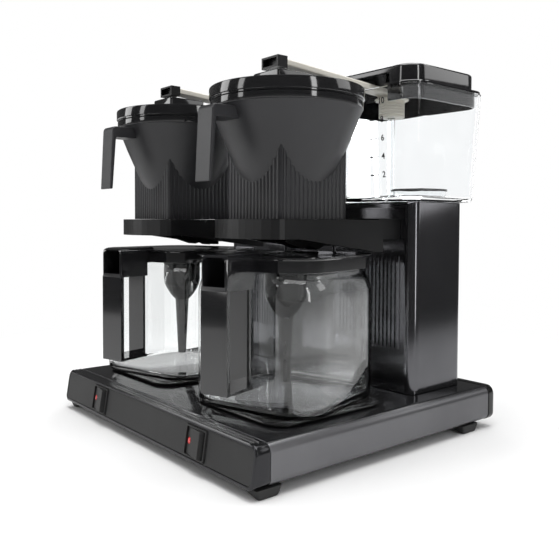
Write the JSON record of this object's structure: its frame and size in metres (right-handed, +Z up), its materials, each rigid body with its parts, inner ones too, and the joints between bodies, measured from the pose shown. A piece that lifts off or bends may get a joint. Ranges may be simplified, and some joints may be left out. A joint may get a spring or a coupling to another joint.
{
  "type": "commercial coffee brewer",
  "caption": "Drip coffee brewer: side-by-side units on a shared base, with clear water tanks, outlet arms, brew baskets, glass carafes on hot plates and lit rocker switches.",
  "frame": {"origin": "centre of the bounding box's bottom face, on the floor under the base", "axes": "+X right along the front, +Y to the back, +Z up; the front with the switches faces -Y"},
  "size_m": [0.36, 0.33, 0.372],
  "materials": {
    "base_metal": "satin dark grey metallic",
    "cap_black": "gloss black",
    "panel": "fine matte charcoal",
    "tower": "satin black",
    "plate": "black non-stick coated",
    "bright_metal": "plain",
    "clear_tank": "clear",
    "clear_glass": "clear",
    "lid_black": "gloss black",
    "basket": "matte dark charcoal",
    "holder": "satin black",
    "cream": "cream white",
    "lamp": "translucent red",
    "rubber": "matte",
    "inner_black": "satin"
  },
  "bodies": {
    "brewer_body": {"base_housing": "base_metal", "base_bottom_plate": "bright_metal", "front_end_cap": "cap_black", "control_panel": "panel", "rear_end_cap": "cap_black", "cord_gland": "rubber", "foot_front_left": "rubber", "foot_front_right": "rubber", "foot_rear_left": "rubber", "foot_rear_right": "rubber", "left_rocker_bezel": "cap_black", "left_hot_plate": "plate", "left_heating_element": "bright_metal", "left_tower_shell": "tower", "left_tower_front_panel": "tower", "left_boiler": "bright_metal", "left_water_tank": "clear_tank", "left_riser_tube": "clear_tank", "left_riser_collar": "cream", "left_basket_holder": "holder", "left_holder_bracket": "holder", "right_rocker_bezel": "cap_black", "right_hot_plate": "plate", "right_heating_element": "bright_metal", "right_tower_shell": "tower", "right_tower_front_panel": "tower", "right_boiler": "bright_metal", "right_water_tank": "clear_tank", "right_riser_tube": "clear_tank", "right_riser_collar": "cream", "right_basket_holder": "holder", "right_holder_bracket": "holder"},
    "left_switch": {"left_rocker_switch": "panel", "left_indicator_lamp": "lamp"},
    "left_lid": {"left_tank_lid": "lid_black"},
    "left_arm": {"left_outlet_arm": "cream", "left_arm_end_cap": "lid_black"},
    "left_basket": {"left_brew_basket": "basket"},
    "left_basket_cover": {"left_basket_lid": "lid_black"},
    "left_lever": {"left_drip_stop_lever": "holder"},
    "left_carafe": {"left_carafe_glass": "clear_glass", "left_carafe_collar": "lid_black"},
    "left_carafe_cover": {"left_carafe_lid": "lid_black", "left_mixing_tube": "inner_black"},
    "right_switch": {"right_rocker_switch": "panel", "right_indicator_lamp": "lamp"},
    "right_lid": {"right_tank_lid": "lid_black"},
    "right_arm": {"right_outlet_arm": "cream", "right_arm_end_cap": "lid_black"},
    "right_basket": {"right_brew_basket": "basket"},
    "right_basket_cover": {"right_basket_lid": "lid_black"},
    "right_lever": {"right_drip_stop_lever": "holder"},
    "right_carafe": {"right_carafe_glass": "clear_glass", "right_carafe_collar": "lid_black"},
    "right_carafe_cover": {"right_carafe_lid": "lid_black", "right_mixing_tube": "inner_black"}
  },
  "joints": [
    {"name": "left_switch_rock", "type": "hinge", "parent": "brewer_body", "child": "left_switch", "pos_m": [-0.09115, -0.15329, 0.02535], "axis": [0, 0.1551, 0.9879], "range_deg": [0, 24]},
    {"name": "left_tank_lid_lift", "type": "slide", "parent": "brewer_body", "child": "left_lid", "axis": [0, 0, 1], "range_m": [0, 0.08]},
    {"name": "left_arm_swing", "type": "hinge", "parent": "brewer_body", "child": "left_arm", "pos_m": [-0.09365, 0.092, 0.35], "axis": [0, 0, 1], "range_deg": [-20, 20]},
    {"name": "left_basket_slide", "type": "slide", "parent": "brewer_body", "child": "left_basket", "axis": [0, -1, 0], "range_m": [0, 0.15]},
    {"name": "left_basket_lid_off", "type": "slide", "parent": "left_basket", "child": "left_basket_cover", "axis": [0, -0.9988, 0.0499], "range_m": [0, 0.155]},
    {"name": "left_drip_stop", "type": "hinge", "parent": "brewer_body", "child": "left_lever", "pos_m": [-0.09365, 0.001, 0.1982], "axis": [-1, 0, 0], "range_deg": [0, 5], "stiffness_Nm_per_rad": 0.05, "springref_deg": -17.19},
    {"name": "left_carafe_slide", "type": "slide", "parent": "brewer_body", "child": "left_carafe", "axis": [0, -1, 0], "range_m": [0, 0.17]},
    {"name": "left_carafe_lid_twist", "type": "hinge", "parent": "left_carafe", "child": "left_carafe_cover", "pos_m": [-0.09365, -0.056, 0.185], "axis": [0, 0, 1], "range_deg": [0, 35]},
    {"name": "right_switch_rock", "type": "hinge", "parent": "brewer_body", "child": "right_switch", "pos_m": [0.09615, -0.15329, 0.02535], "axis": [0, 0.1551, 0.9879], "range_deg": [0, 24]},
    {"name": "right_tank_lid_lift", "type": "slide", "parent": "brewer_body", "child": "right_lid", "axis": [0, 0, 1], "range_m": [0, 0.08]},
    {"name": "right_arm_swing", "type": "hinge", "parent": "brewer_body", "child": "right_arm", "pos_m": [0.09365, 0.092, 0.35], "axis": [0, 0, 1], "range_deg": [-20, 20]},
    {"name": "right_basket_slide", "type": "slide", "parent": "brewer_body", "child": "right_basket", "axis": [0, -1, 0], "range_m": [0, 0.15]},
    {"name": "right_basket_lid_off", "type": "slide", "parent": "right_basket", "child": "right_basket_cover", "axis": [0, -0.9988, 0.0499], "range_m": [0, 0.155]},
    {"name": "right_drip_stop", "type": "hinge", "parent": "brewer_body", "child": "right_lever", "pos_m": [0.09365, 0.001, 0.1982], "axis": [-1, 0, 0], "range_deg": [0, 5], "stiffness_Nm_per_rad": 0.05, "springref_deg": -17.19},
    {"name": "right_carafe_slide", "type": "slide", "parent": "brewer_body", "child": "right_carafe", "axis": [0, -1, 0], "range_m": [0, 0.17]},
    {"name": "right_carafe_lid_twist", "type": "hinge", "parent": "right_carafe", "child": "right_carafe_cover", "pos_m": [0.09365, -0.056, 0.185], "axis": [0, 0, 1], "range_deg": [0, 35]}
  ]
}
